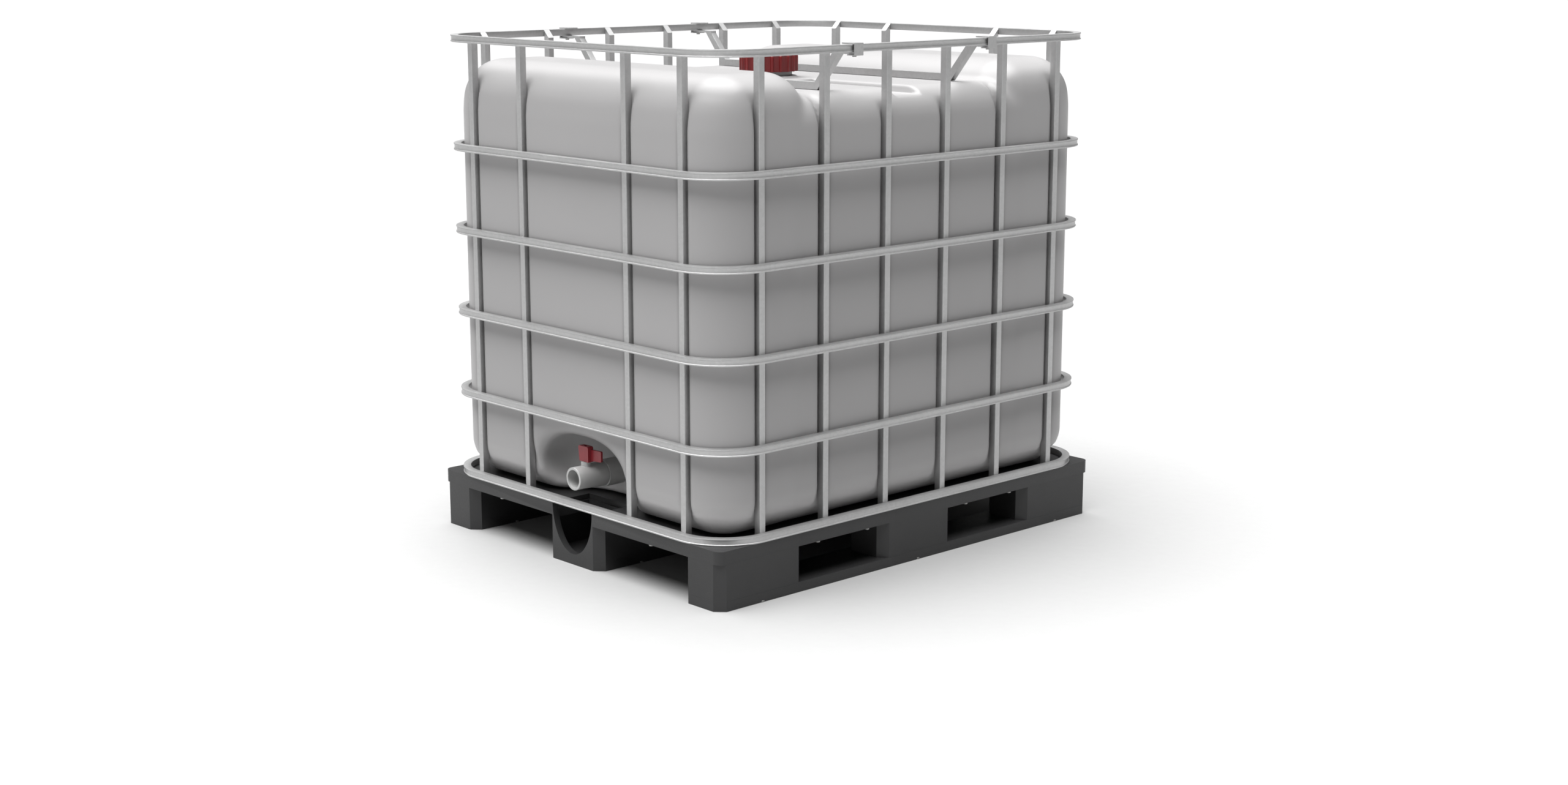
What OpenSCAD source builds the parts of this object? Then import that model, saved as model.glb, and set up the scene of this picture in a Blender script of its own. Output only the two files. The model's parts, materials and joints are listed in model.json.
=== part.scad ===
// Intermediate bulk container: a blow-moulded bottle in a welded tube cage on a plastic pallet.
// Millimetres, +Z up. The origin is on the floor, under the middle of the container.
// The outlet valve is in the middle of the short side at -Y; the long sides face -X and +X.

/* [Cage] */
// Width over the rails, along X
cage_w = 1000; // [980:5:1010]
// Length over the rails, along Y
cage_l = 1200; // [1180:5:1210]
// Outer corner radius of the rails
cage_r = 127; // [115:1:127]
// Height of a rail
rail_h = 16; // [15:0.5:18]
// Depth of a rail, across its wall side
rail_d = 18; // [16:0.5:19]
// Rise from one rail to the next
rail_pitch = 191; // [188:1:192]
// Rise from the fifth rail to the top rail
top_pitch = 246; // [242:1:250]
// Width of an upright
upright_w = 16; // [14:0.5:18]
// Depth of an upright
upright_d = 18; // [16:0.5:18]
// Distance between neighbouring uprights on the long sides
long_pitch = 184.5; // [182:0.5:186]
// Distance from the centre plane to the inner uprights of the short sides
short_inner = 183; // [178:1:188]
// Distance from the centre plane to the outer uprights of the short sides
short_outer = 365; // [358:1:365]
// Wall of the cage tubes
tube_wall = 1; // [1:0.1:2]

/* [Cross bars] */
// Distance of each cross bar from the centre plane
bar_y = 208; // [200:1:215]
// Side of the square bar
bar_s = 16; // [14:1:18]
// Half length of the level middle of the bar, along its underside
bar_flat = 387; // [370:1:392]
// Sheet of the clips
clip_t = 2.5; // [2:0.5:3]
// Length of a clip along the rail
clip_l = 26; // [22:1:30]

/* [Pallet] */
// Height of the deck's top face
deck_z = 131; // [128:1:135]
// Height of the deck with its skirt
skirt_h = 29; // [26:1:32]
// Thickness of a runner
runner_t = 22; // [18:1:24]
// Width of the outer feet and runners
side_foot_w = 120; // [110:5:130]
// Width of the middle feet and runner
mid_foot_w = 186; // [170:2:200]
// Length of the end feet
end_foot_l = 245; // [220:5:260]
// Length of the feet half way along
half_foot_l = 230; // [200:5:240]

/* [Bottle] */
// Gap from the outside of the rails to the bottle's wall
bottle_inset = 26; // [25:0.5:28]
// Height of the level middle of the bottle's top
bottle_top = 1056.5; // [1050:0.5:1056.5]
// Height of the two ridges across the bottle's top
ridge_top = 1102; // [1095:1:1105]
// Bottle wall
bottle_wall = 3; // [2.5:0.5:4]
// Outside diameter of the filling neck
neck_d = 108; // [104:1:110]

/* [Lid] */
// Diameter over the lid's ribs
lid_d = 138; // [134:1:142]
// Height of the lid
lid_h = 38.5; // [36:0.5:42]
// Number of grip ribs
lid_ribs = 20; // [16:2:28]

/* [Valve] */
// Outside diameter of the outlet pipe
pipe_d = 52; // [50:1:54]
// Bore of the valve
bore_d = 41; // [40:0.5:42]
// Height of the valve's axis
valve_z = 196; // [194:1:200]
// Reach of the handle's arm from the stem's axis
handle_reach = 53; // [46:1:56]
// Angle of the handle from closed
handle_turn = 0; // [0:5:90]

/* [Hidden] */
$fn = 96;

eps = 0.01;
half_w = cage_w / 2;
half_l = cage_l / 2;

// Rails
lip = 2.6;
groove = 1.6;
rail_low = deck_z + rail_h / 2;
rail_five = rail_low + 4 * rail_pitch;
rail_high = rail_five + top_pitch;
cage_top = rail_high + rail_h / 2;
upright_h = cage_top - deck_z;
long_places = [for (k = [-2.5:1:2.5]) k * long_pitch];
short_places = [-short_outer, -short_inner, short_inner, short_outer];

// Cross bars: a level middle, two legs and two tabs under the top rail
bar_z = bottle_top + 0.5;
tab_t = 5;
tab_z = cage_top - rail_h - tab_t;
tab_x = half_w - 50;
leg_top = half_w - 48;
clip_gap = 2.5;
clip_out = half_w + clip_gap + clip_t;
clip_screw_r = 2.5;
clip_screw_x = half_w - 9;

// Pallet
deck_t = 6;
rib_t = 5;
rib_pitch = 94;
skirt_z = deck_z - skirt_h;
deck_inset = 3;
deck_hw = half_w - deck_inset;
deck_hl = half_l - deck_inset;
deck_r = 20;
foot_h = skirt_z - runner_t;
foot_wall = 8;
foot_cut = 20;
runner_side = 16;
runner_top = 6;
runner_cells = 8;
runner_hl = half_l - 30;
runner_cell = 2 * runner_hl / runner_cells;
trough_hw = 75;
trough_y0 = -581;
trough_y1 = -489;
trough_step = 12;
trough_rim = 6;
notch_hw = 71;
notch_z = 24;
notch_h = deck_z - notch_z;
drip_wall = 16;
screw_r = 2.5;
screw_head_r = 5.5;
screw_head_h = 3;
foot_bite = 10;
runner_bite = 20;

// Bottle
form_hw = half_w - bottle_inset;
form_hl = half_l - bottle_inset;
form_r = cage_r - bottle_inset;
base_r = 90;
crown_r = 95;
ridge_in_r = 45;
ridge_y = 302;
slot_w = upright_w + 8;
slot_in = rail_d + upright_d + 1;
pocket_hw = 150;
pocket_r = 75;
pocket_z = 210;
pocket_back = -432;
neck_r = neck_d / 2;
neck_bore_r = neck_r - 6;
neck_top = 1100;
collar_r = 61;
collar_h = 5;
drain_hw = 40;
drain_z = 1037;
drain_x = 205;

// Lid
lid_z = neck_top + 9 - lid_h;
lid_r = lid_d / 2;
lid_top_t = 5;
rib_depth = 3.4;
gasket_h = 4;

// Valve: the axis runs along Y, the stem is upright; the nut pulls the body's flange to the boss
mouth_y = -591;
spigot_l = 24;
stem_y = -555;
boss_end = -496;
boss_r = 27;
seal_t = 3;
flange_y = boss_end - seal_t;
flange_t = 6;
body_r = 28.5;
throat_r = 24;
thread_gap = 0.4;
bore_r = bore_d / 2;
pipe_r = pipe_d / 2;
nut_r = 31;
nut_lip = 5;
nut_y0 = flange_y - flange_t - nut_lip;
nut_y1 = -460;
step_y = nut_y0 - 1;
stem_r = 5;
stem_run = 0.05;
bush_r = 8;
stem_boss_r = 11;
stem_boss_z = valve_z + 35;
disc_r = 18.2;
disc_t = 5;
seal_r = 20.3;
handle_z = stem_boss_z + 0.5;
handle_h = 35;
hub_half_w = 17.5;
hub_half_d = 7.5;
arm_t = 5;
arm_front = 1;

// ---------- shared shapes ----------

// A rectangle with round corners, centred
module round_plate(hw, hl, r) {
    union() {
        square([2 * hw, 2 * (hl - r)], center = true);
        square([2 * (hw - r), 2 * hl], center = true);
        for (sx = [-1, 1], sy = [-1, 1])
            translate([sx * (hw - r), sy * (hl - r)]) circle(r = r);
    }
}

// Turns a flat drawing in X and Y into an upright one in X and Z, thick along +Y from y = 0
module stand_xz(depth) {
    translate([0, depth, 0]) rotate([90, 0, 0]) linear_extrude(depth) children();
}

// Turns a flat drawing in X and Y into an upright one in Y and Z, thick along X about x = 0
module stand_yz(width) {
    rotate([90, 0, 90]) linear_extrude(width, center = true) children();
}

// A screw, head down: the head ends at z = 0 and the shank goes up from it
module screw(shank_r, shank_l, head_r, head_h) {
    translate([0, 0, -head_h]) cylinder(r = head_r, h = head_h);
    translate([0, 0, -head_h]) cylinder(r = shank_r, h = head_h + shank_l);
}

// ---------- cage ----------

// Section of a rail: the outer face is at x = 0 with a shallow groove, the inside is hollow
module rail_section() {
    difference() {
        translate([0, -rail_h / 2]) square([rail_d, rail_h]);
        translate([-1, -rail_h / 2 + lip]) square([1 + groove, rail_h - 2 * lip]);
        translate([groove + tube_wall, -rail_h / 2 + tube_wall])
            square([rail_d - groove - 2 * tube_wall, rail_h - 2 * tube_wall]);
    }
}

module rail_corner() {
    rotate_extrude(angle = 90) translate([cage_r, 0]) mirror([1, 0]) rail_section();
}

// One closed rail, centred on height z
module rail(z) {
    color([0.68, 0.68, 0.68]) translate([0, 0, z]) for (turn = [0, 180]) rotate([0, 0, turn]) {
        translate([-(half_w - cage_r), -half_l, 0]) rotate([90, 0, 90])
            linear_extrude(cage_w - 2 * cage_r) rail_section();
        translate([half_w, -(half_l - cage_r), 0]) rotate([90, 0, 180])
            linear_extrude(cage_l - 2 * cage_r) rail_section();
        translate([half_w - cage_r, -(half_l - cage_r), 0]) rotate([0, 0, -90]) rail_corner();
        translate([half_w - cage_r, half_l - cage_r, 0]) rail_corner();
    }
}

// One upright: outer face at y = 0, the inner top corner cut at 45 degrees and closed, open below
module upright() {
    difference() {
        stand_yz(upright_w)
            polygon([[0, 0], [upright_d, 0], [upright_d, upright_h - upright_d], [0, upright_h]]);
        stand_yz(upright_w - 2 * tube_wall) polygon([[tube_wall, -1], [upright_d - tube_wall, -1],
            [upright_d - tube_wall, upright_h - upright_d - 0.5 * tube_wall],
            [tube_wall, upright_h - 2.5 * tube_wall]]);
    }
}

module short_side_upright(k) {
    color([0.68, 0.68, 0.68]) translate([short_places[k], -half_l + rail_d, deck_z]) upright();
}

module long_side_upright(k) {
    color([0.68, 0.68, 0.68])
        translate([half_w - rail_d, long_places[k], deck_z]) rotate([0, 0, 90]) upright();
}

module upright_front_1() { short_side_upright(0); }
module upright_front_2() { short_side_upright(1); }
module upright_front_3() { short_side_upright(2); }
module upright_front_4() { short_side_upright(3); }
module upright_rear_1() { rotate([0, 0, 180]) short_side_upright(0); }
module upright_rear_2() { rotate([0, 0, 180]) short_side_upright(1); }
module upright_rear_3() { rotate([0, 0, 180]) short_side_upright(2); }
module upright_rear_4() { rotate([0, 0, 180]) short_side_upright(3); }
module upright_left_1() { rotate([0, 0, 180]) long_side_upright(0); }
module upright_left_2() { rotate([0, 0, 180]) long_side_upright(1); }
module upright_left_3() { rotate([0, 0, 180]) long_side_upright(2); }
module upright_left_4() { rotate([0, 0, 180]) long_side_upright(3); }
module upright_left_5() { rotate([0, 0, 180]) long_side_upright(4); }
module upright_left_6() { rotate([0, 0, 180]) long_side_upright(5); }
module upright_right_1() { long_side_upright(0); }
module upright_right_2() { long_side_upright(1); }
module upright_right_3() { long_side_upright(2); }
module upright_right_4() { long_side_upright(3); }
module upright_right_5() { long_side_upright(4); }
module upright_right_6() { long_side_upright(5); }

module rail_bottom() {
    difference() {
        rail(rail_low);
        for (p = cage_screw_places()) translate([p[0], p[1], deck_z - 1])
            cylinder(r = screw_r, h = 1 + tube_wall + 1);
    }
}
module rail_second() { rail(rail_low + rail_pitch); }
module rail_third() { rail(rail_low + 2 * rail_pitch); }
module rail_fourth() { rail(rail_low + 3 * rail_pitch); }
module rail_fifth() { rail(rail_five); }
module rail_top() {
    difference() {
        rail(rail_high);
        for (sx = [-1, 1], sy = [-1, 1]) translate([sx * clip_screw_x, sy * bar_y, tab_z + tab_t - 1])
            cylinder(r = clip_screw_r, h = 1 + tube_wall + 1);
    }
}

// Outline of a cross bar in X and Z, from the inner to the outer end of one side
function bar_under(inset) = [[0, bar_z + inset], [bar_flat - inset * 0.5, bar_z + inset],
    [leg_top - inset * 0.5, tab_z]];
function bar_over(inset) = [[leg_top - bar_s * 1.28 + inset * 0.8, tab_z],
    [bar_flat - bar_s * 0.5 + inset * 0.5, bar_z + bar_s - inset], [0, bar_z + bar_s - inset]];

module cross_bar() {
    tube_clear = 1.5;
    color([0.68, 0.68, 0.68]) difference() {
        for (side = [0, 180]) rotate([0, 0, side]) {
            translate([0, -bar_s / 2, 0]) difference() {
                stand_xz(bar_s) polygon(concat(bar_under(0), bar_over(0)));
                translate([-1, tube_clear, 0]) stand_xz(bar_s - 2 * tube_clear)
                    polygon(concat(bar_under(tube_clear), bar_over(tube_clear)));
            }
            translate([leg_top - bar_s * 1.28, -bar_s / 2, tab_z])
                cube([half_w - leg_top + bar_s * 1.28 + clip_gap, bar_s, tab_t]);
        }
        for (sx = [-1, 1]) translate([sx * clip_screw_x, 0, tab_z - 1])
            cylinder(r = clip_screw_r, h = tab_t + 2);
    }
}

module cross_bar_front() { translate([0, -bar_y, 0]) cross_bar(); }
module cross_bar_rear() { translate([0, bar_y, 0]) cross_bar(); }

// A clip is a strap bent round the top rail and the tab of the bar
module bar_clip() {
    reach = 36;
    x0 = half_w - reach + clip_t;
    low = tab_z - clip_t;
    difference() {
        union() {
            translate([x0, -clip_l / 2, cage_top]) cube([clip_out - x0, clip_l, 3]);
            translate([half_w + clip_gap, -clip_l / 2, low]) cube([clip_t, clip_l, cage_top + 3 - low]);
            translate([half_w - rail_d, -clip_l / 2, low]) cube([clip_out - half_w + rail_d, clip_l, clip_t]);
        }
        translate([clip_screw_x, 0, low - 1]) cylinder(r = clip_screw_r, h = clip_t + 2);
    }
}

module bar_clips() {
    color([0.68, 0.68, 0.68]) for (side = [0, 180], sy = [-1, 1])
        rotate([0, 0, side]) translate([0, sy * bar_y, 0]) bar_clip();
}

module clip_screws() {
    color([0.6, 0.6, 0.6]) for (sx = [-1, 1], sy = [-1, 1])
        translate([sx * clip_screw_x, sy * bar_y, tab_z - clip_t])
            screw(clip_screw_r, clip_t + tab_t + tube_wall + 3, 4.5, 3);
}

// ---------- pallet ----------

function foot_x() = deck_hw - side_foot_w / 2;
function foot_y() = deck_hl - end_foot_l / 2;
function cage_screw_places() = [for (sx = [-1, 1], y = [-310, -160, 160, 310])
        [sx * (half_w - rail_d / 2), y],
    for (sy = [-1, 1], x = [-270, 270]) [x, sy * (half_l - rail_d / 2)]];

// The deck: a top plate with a skirt and a grid of ribs underneath, the drip trough and its notch
module pallet_deck() {
    color([0.07, 0.07, 0.07]) difference() {
        translate([0, 0, skirt_z]) linear_extrude(skirt_h) round_plate(deck_hw, deck_hl, deck_r);
        for (i = [-5:4], j = [-6:5]) deck_cell(i, j);
        trough_cut();
        notch_cut(deck_inset + drip_wall);
        for (p = cage_screw_places()) translate([p[0], p[1], skirt_z - 1])
            cylinder(r = screw_r, h = skirt_h + 2);
        for (x = [-1, 0, 1], y = [-1, 0, 1]) translate([x * foot_x(), y * foot_y(), skirt_z - 1])
            cylinder(r = screw_r, h = foot_bite + 1);
    }
}

// One open cell under the deck; a cell stays closed over the middle feet and where a foot's screw goes in
module deck_cell(i, j) {
    x0 = i * rib_pitch + rib_t / 2;
    y0 = j * rib_pitch + rib_t / 2;
    over_middle = i >= -1 && i <= 0 && (abs(j + 0.5) < 2 || abs(j + 0.5) > 4);
    over_screw = (i == -5 || i == 4) && (abs(j + 0.5) < 1 || abs(j + 0.5) > 5);
    if (!over_middle && !over_screw) translate([x0, y0, skirt_z - 1])
        cube([rib_pitch - rib_t, rib_pitch - rib_t, skirt_h - deck_t + 1]);
}

// The trough in front of the valve: a stepped rectangular opening into the hollow foot below
module trough_cut() {
    translate([-trough_hw, trough_y0, deck_z - trough_step])
        cube([2 * trough_hw, trough_y1 - trough_y0, trough_step + 1]);
    translate([-trough_hw + trough_rim, trough_y0, skirt_z - foot_wall - 1])
        cube([2 * (trough_hw - trough_rim), trough_y1 - trough_y0 - trough_rim, skirt_h + foot_wall]);
}

// The notch in the front face, half an ellipse open at the top
module notch_cut(depth) {
    arc = [for (a = [180:5:360]) [notch_hw * cos(a), deck_z + notch_h * sin(a)]];
    translate([0, -half_l - 1, 0]) stand_xz(depth + 1)
        polygon(concat([[-notch_hw, deck_z + 1]], arc, [[notch_hw, deck_z + 1]]));
}

// A foot: a hollow block with cut corners, open underneath onto its runner
module foot(w, l) {
    hollow_h = foot_h - foot_wall;
    difference() {
        translate([0, 0, runner_t]) linear_extrude(foot_h) cut_plate(w / 2, l / 2, foot_cut);
        translate([0, 0, runner_t - 1]) linear_extrude(hollow_h + 1)
            cut_plate(w / 2 - foot_wall, l / 2 - foot_wall, foot_cut - foot_wall / 2);
        foot_holes(w);
    }
}

// Holes for the screw into the deck and for the two screws that come up through the runner
module foot_holes(w) {
    translate([0, 0, skirt_z - foot_wall - 1]) cylinder(r = screw_r, h = foot_wall + 2);
    for (s = [-1, 1]) translate([s * (w - foot_wall) / 2, 0, runner_t - 1])
        cylinder(r = screw_r, h = runner_bite + 1);
}

// A rectangle with its corners cut at 45 degrees
module cut_plate(hw, hl, c) {
    polygon([[-hw + c, -hl], [hw - c, -hl], [hw, -hl + c], [hw, hl - c],
        [hw - c, hl], [-hw + c, hl], [-hw, hl - c], [-hw, -hl + c]]);
}

module black_foot(x, y, w, l) { color([0.06, 0.06, 0.06]) translate([x, y, 0]) foot(w, l); }
module foot_front_left() { black_foot(-foot_x(), -foot_y(), side_foot_w, end_foot_l); }
module foot_front_right() { black_foot(foot_x(), -foot_y(), side_foot_w, end_foot_l); }
module foot_rear_left() { black_foot(-foot_x(), foot_y(), side_foot_w, end_foot_l); }
module foot_rear_centre() { black_foot(0, foot_y(), mid_foot_w, end_foot_l); }
module foot_rear_right() { black_foot(foot_x(), foot_y(), side_foot_w, end_foot_l); }
module foot_middle_left() { black_foot(-foot_x(), 0, side_foot_w, half_foot_l); }
module foot_middle_centre() { black_foot(0, 0, mid_foot_w, half_foot_l); }
module foot_middle_right() { black_foot(foot_x(), 0, side_foot_w, half_foot_l); }

// The middle front foot is open at the top under the trough, and its front wall is notched
module foot_front_centre() {
    color([0.06, 0.06, 0.06]) difference() {
        translate([0, -foot_y(), 0]) difference() {
            translate([0, 0, runner_t]) linear_extrude(foot_h)
                cut_plate(mid_foot_w / 2, end_foot_l / 2, foot_cut);
            translate([0, (drip_wall - foot_wall) / 2, runner_t - 1]) linear_extrude(foot_h - foot_wall + 1)
                cut_plate(mid_foot_w / 2 - foot_wall, (end_foot_l - drip_wall - foot_wall) / 2, foot_cut / 2);
            foot_holes(mid_foot_w);
        }
        trough_cut();
        notch_cut(deck_inset + drip_wall);
    }
}

// A runner joins three feet and closes them underneath
module runner(x, w) {
    color([0.06, 0.06, 0.06]) difference() {
        translate([x, 0, 0]) linear_extrude(runner_t) cut_plate(w / 2, deck_hl, foot_cut);
        for (p = runner_screw_places(w)) translate([x + p[0], p[1], -1]) {
            cylinder(r = screw_r, h = runner_t + 2);
            cylinder(r = screw_head_r + 0.5, h = screw_head_h + 2);
        }
        for (k = [0:runner_cells - 1]) translate([x, -runner_hl + (k + 0.5) * runner_cell, -1])
            linear_extrude(runner_t - runner_top + 1)
                square([w - 2 * runner_side, runner_cell - rib_t], center = true);
    }
}

function runner_screw_places(w) = [for (sx = [-1, 1], y = [-1, 0, 1])
    [sx * (w - foot_wall) / 2, y * foot_y()]];

module runner_left() { runner(-foot_x(), side_foot_w); }
module runner_centre() { runner(0, mid_foot_w); }
module runner_right() { runner(foot_x(), side_foot_w); }

// Screws up through the runners into the feet, and from inside the feet up into the deck
module pallet_screws() {
    seat = screw_head_h + 1;
    color([0.5, 0.5, 0.5]) for (x = [-1, 0, 1]) {
        w = x == 0 ? mid_foot_w : side_foot_w;
        for (p = runner_screw_places(w)) translate([x * foot_x() + p[0], p[1], seat])
            screw(screw_r, runner_t - seat + runner_bite, screw_head_r, screw_head_h);
        for (y = [-1, 0, 1]) translate([x * foot_x(), y * foot_y(), skirt_z - foot_wall])
            screw(screw_r, foot_wall + foot_bite, screw_head_r, screw_head_h);
    }
}

// Screws from below the deck into the bottom rail
module cage_screws() {
    color([0.5, 0.5, 0.5]) for (p = cage_screw_places()) translate([p[0], p[1], skirt_z])
        screw(screw_r, skirt_h + tube_wall + 1, screw_head_r, screw_head_h);
}

// ---------- bottle ----------

// Side view of the bottle in Y and Z, drawn smaller by the amount i
module side_view(i) {
    low = deck_z + i;
    front = form_hl - i;
    crown = crown_r - i;
    base = base_r - i;
    in_r = ridge_in_r - i;
    top = ridge_top - i;
    inner = ridge_y + i;
    square_low = low + base;
    translate([-front + base, low]) square([2 * (front - base), bottle_top - i - low]);
    translate([-front, square_low]) square([2 * front, bottle_top - i - square_low - crown]);
    for (s = [-1, 1]) {
        translate([s * (front - base), square_low]) circle(r = base);
        translate([s * (front - crown), top - crown]) circle(r = crown);
        translate([s * (inner + in_r), top - in_r]) circle(r = in_r);
        scale_x = s > 0 ? inner + in_r : -(front - crown);
        translate([scale_x, low + base]) square([front - crown - inner - in_r, top - low - base]);
        side_x = s > 0 ? inner : -front;
        translate([side_x, square_low]) square([front - inner, top - crown - square_low]);
        ramp_x = s > 0 ? inner : -(inner + in_r);
        translate([ramp_x, square_low]) square([in_r, top - in_r - square_low]);
    }
}

// End view of the bottle in X and Z
module end_view(i) {
    low = deck_z + i;
    wide = form_hw - i;
    crown = crown_r - i;
    base = base_r - i;
    top = ridge_top - i;
    translate([-wide + base, low]) square([2 * (wide - base), base]);
    translate([-wide, low + base]) square([2 * wide, top - crown - low - base]);
    translate([-wide + crown, top - crown]) square([2 * (wide - crown), crown]);
    for (s = [-1, 1]) {
        translate([s * (wide - base), low + base]) circle(r = base);
        translate([s * (wide - crown), top - crown]) circle(r = crown);
    }
}

// The bottle's closed form, drawn smaller by the amount i
module bottle_form(i) {
    intersection() {
        translate([0, 0, deck_z]) linear_extrude(ridge_top - deck_z)
            round_plate(form_hw - i, form_hl - i, form_r - i);
        stand_yz(2 * form_hw) side_view(i);
        translate([0, -form_hl, 0]) stand_xz(2 * form_hl) end_view(i);
    }
}

// The grooves that clear the uprights, grown by the amount i
module upright_slots(i) {
    wide = slot_w + 2 * i;
    high = ridge_top - deck_z + 10;
    deep = 60;
    for (side = [0, 180]) rotate([0, 0, side]) {
        for (x = short_places) translate([x - wide / 2, -half_l + slot_in + i - deep, deck_z - 5])
            cube([wide, deep, high]);
        for (y = long_places) translate([half_w - slot_in - i, y - wide / 2, deck_z - 5])
            cube([deep, wide, high]);
    }
}

// The pocket for the valve, open to the front and below, grown by the amount i
module pocket(i) {
    r = pocket_r + i;
    flat = pocket_hw - pocket_r;
    translate([0, -half_l, 0]) stand_xz(half_l + pocket_back + i) union() {
        for (s = [-1, 1]) translate([s * flat, pocket_z]) circle(r = r);
        translate([-flat, pocket_z - r]) square([2 * flat, 2 * r]);
        translate([-flat, deck_z - 5]) square([2 * flat, pocket_z - deck_z]);
    }
}

// Drain channels from the neck to both long sides, grown by the amount i
module drains(i) {
    for (s = [0, 180]) rotate([0, 0, s]) translate([drain_x - i, -drain_hw - i, drain_z - i])
        cube([half_w - drain_x + i, 2 * (drain_hw + i), bottle_top - drain_z + i + 5]);
}

module neck_thread() {
    for (z = [neck_top - 10, neck_top - 22]) translate([0, 0, z]) rotate_extrude()
        polygon([[neck_r - 1, -2.2], [neck_r + 2.2, -0.8], [neck_r + 2.2, 0.8], [neck_r - 1, 2.2]]);
}

module bottle() {
    t = bottle_wall;
    color([0.72, 0.72, 0.71]) difference() {
        union() {
            difference() {
                bottle_form(0);
                upright_slots(0);
                pocket(0);
                drains(0);
                difference() {
                    bottle_form(t);
                    upright_slots(t);
                    pocket(t);
                    drains(t);
                }
            }
            translate([0, 0, bottle_top - t]) cylinder(r = collar_r, h = t + collar_h);
            translate([0, 0, bottle_top - t]) cylinder(r = neck_r, h = neck_top - bottle_top + t);
            neck_thread();
            translate([0, pocket_back + t, valve_z]) rotate([90, 0, 0])
                cylinder(r = boss_r, h = pocket_back + t - boss_end);
        }
        translate([0, 0, bottle_top - t - 1]) cylinder(r = neck_bore_r, h = neck_top - bottle_top + t + 2);
        translate([0, pocket_back + t + 1, valve_z]) rotate([90, 0, 0])
            cylinder(r = bore_r, h = pocket_back + t + 2 - boss_end);
    }
}

// ---------- lid ----------

module lid() {
    inner_r = neck_r + 3;
    color([0.5, 0.09, 0.09]) translate([0, 0, lid_z]) difference() {
        union() {
            cylinder(r = lid_r - rib_depth, h = lid_h);
            for (k = [0:lid_ribs - 1]) rotate([0, 0, k * 360 / lid_ribs])
                translate([lid_r - rib_depth - 2, -5, 0]) cube([rib_depth + 1.6, 10, lid_h - 3]);
        }
        translate([0, 0, -1]) cylinder(r = inner_r, h = lid_h - lid_top_t + 1);
    }
}

module lid_gasket() {
    color([0.15, 0.15, 0.15]) translate([0, 0, neck_top]) difference() {
        cylinder(r = neck_r + 2.5, h = gasket_h);
        translate([0, 0, -1]) cylinder(r = neck_bore_r - 2, h = gasket_h + 2);
    }
}

// ---------- valve ----------

// A drawing of radius and Y, turned about the valve's axis
module on_axis() {
    translate([0, 0, valve_z]) rotate([-90, 0, 0]) rotate_extrude() children();
}

module union_nut() {
    color([0.62, 0.62, 0.62]) on_axis()
        polygon([[throat_r + thread_gap, nut_y0], [nut_r - 0.8, nut_y0],
            [nut_r, nut_y0 + 0.8], [nut_r, nut_y1], [boss_r + thread_gap, nut_y1],
            [boss_r + thread_gap, nut_y0 + nut_lip], [throat_r + thread_gap, nut_y0 + nut_lip]]);
}

module outlet_gasket() {
    color([0.12, 0.12, 0.12]) on_axis() translate([bore_r + 0.5, flange_y])
        square([boss_r - bore_r - 0.5, seal_t]);
}

module valve_body() {
    color([0.66, 0.66, 0.66]) difference() {
        union() {
            on_axis() polygon([[bore_r - 2, mouth_y], [pipe_r - 0.8, mouth_y], [pipe_r, mouth_y + 0.8],
                [pipe_r, mouth_y + spigot_l], [body_r, step_y - 4], [body_r, step_y],
                [throat_r, step_y], [throat_r, flange_y - flange_t], [boss_r, flange_y - flange_t],
                [boss_r, flange_y], [bore_r - 2, flange_y]]);
            translate([0, stem_y, valve_z]) cylinder(r = stem_boss_r, h = stem_boss_z - valve_z);
        }
        on_axis() translate([0, mouth_y - 1]) square([bore_r, flange_y - mouth_y + 2]);
        translate([0, stem_y, valve_z]) cylinder(r = bush_r, h = 50);
        translate([0, stem_y, valve_z - bore_r - 3.5]) cylinder(r = stem_r + stem_run, h = bore_r);
    }
}

// The bush holds the stem and its two seals in the body's neck
module stem_bush() {
    foot_z = valve_z + bore_r + 1;
    color([0.85, 0.85, 0.83]) translate([0, stem_y, 0]) difference() {
        translate([0, 0, foot_z]) cylinder(r = bush_r, h = stem_boss_z - foot_z);
        translate([0, 0, foot_z - 1]) cylinder(r = stem_r + stem_run, h = 40);
        for (z = o_ring_places()) translate([0, 0, z]) cylinder(r = stem_r + 1.8, h = 2);
    }
}

function o_ring_places() = [valve_z + bore_r + 5, valve_z + bore_r + 10];

module stem_o_rings() {
    color([0.1, 0.1, 0.1]) for (z = o_ring_places()) translate([0, stem_y, z + 1]) rotate_extrude()
        translate([stem_r + stem_run + 0.87, 0]) circle(r = 0.85);
}

module spindle_turn() {
    translate([0, stem_y, 0]) rotate([0, 0, handle_turn]) children();
}

module valve_stem() {
    low = valve_z - bore_r - 3;
    color([0.8, 0.8, 0.78]) spindle_turn() difference() {
        union() {
            translate([0, 0, low]) cylinder(r = stem_r, h = handle_z - low);
            translate([-3.5, -3.5, handle_z - 1]) cube([7, 7, handle_h * 0.6]);
        }
        translate([0, 0, handle_z + 2]) cylinder(r = 1.5, h = handle_h);
    }
}

module valve_disc() {
    color([0.82, 0.82, 0.8]) spindle_turn() difference() {
        intersection() {
            translate([0, 0, valve_z]) union() {
                translate([0, disc_t / 2, 0]) rotate([90, 0, 0]) cylinder(r = disc_r, h = disc_t);
                translate([0, 0, -disc_r - 1]) cylinder(r = stem_r + 2, h = 2 * disc_r + 2);
            }
            translate([0, 15, valve_z]) rotate([90, 0, 0]) cylinder(r = disc_r, h = 30);
        }
        translate([0, 0, valve_z - 30]) cylinder(r = stem_r, h = 60);
    }
}

module disc_seal() {
    seal_h = 3;
    color([0.12, 0.12, 0.12]) spindle_turn() difference() {
        translate([0, seal_h / 2, valve_z]) rotate([90, 0, 0]) difference() {
            cylinder(r = seal_r, h = seal_h);
            translate([0, 0, -1]) cylinder(r = disc_r, h = seal_h + 2);
        }
        translate([0, 0, valve_z - 30]) cylinder(r = stem_r, h = 60);
    }
}

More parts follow.
